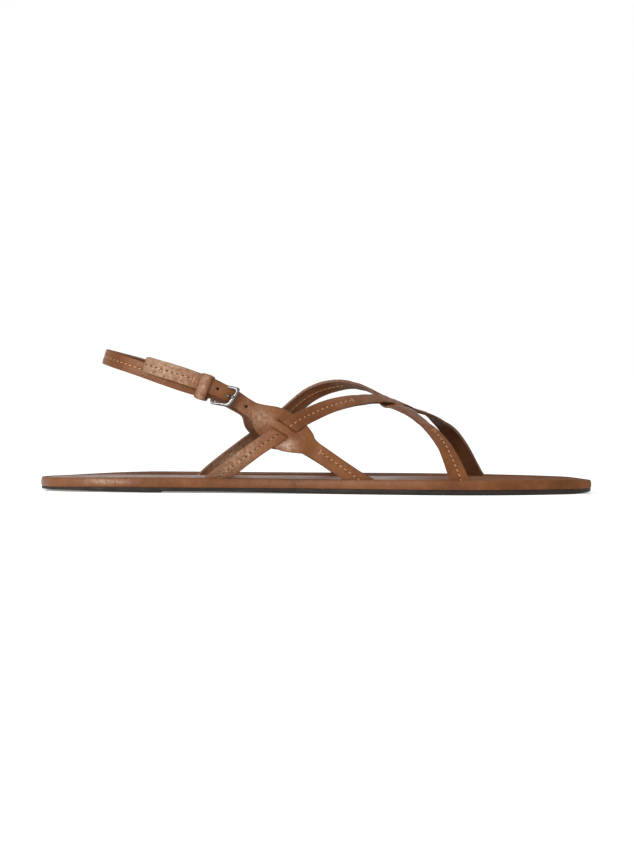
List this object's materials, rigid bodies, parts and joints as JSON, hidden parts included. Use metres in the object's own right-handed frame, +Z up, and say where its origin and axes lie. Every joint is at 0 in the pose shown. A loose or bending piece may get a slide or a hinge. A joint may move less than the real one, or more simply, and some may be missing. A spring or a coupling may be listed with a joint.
{
  "type": "strappy sandal",
  "caption": "Flat right-foot slingback sandal: narrow leather straps interlace over the foot and round the heel to a small buckle, on a thin black rubber sole.",
  "frame": {"origin": "middle of the sole's length and width on the floor", "axes": "+X to the toe, +Y to the inner side of the foot, +Z up"},
  "size_m": [0.252, 0.08, 0.0646],
  "materials": {
    "rubber_black": "matt black rubber with a brown cast",
    "leather_tan": "smooth waxed tan-brown leather, softly glossy",
    "leather_sock": "smooth tan lining leather, glossy at a low angle",
    "metal_silver": "silver-coloured metal, softly polished"
  },
  "bodies": {
    "root": {"outsole": "rubber_black", "heel_lift": "rubber_black", "midsole": "leather_tan", "insole": "leather_sock", "upper": "leather_tan", "heel_strap": "leather_tan", "keeper_loop": "leather_tan", "buckle_frame": "metal_silver", "buckle_prong": "metal_silver"}
  },
  "joints": []
}
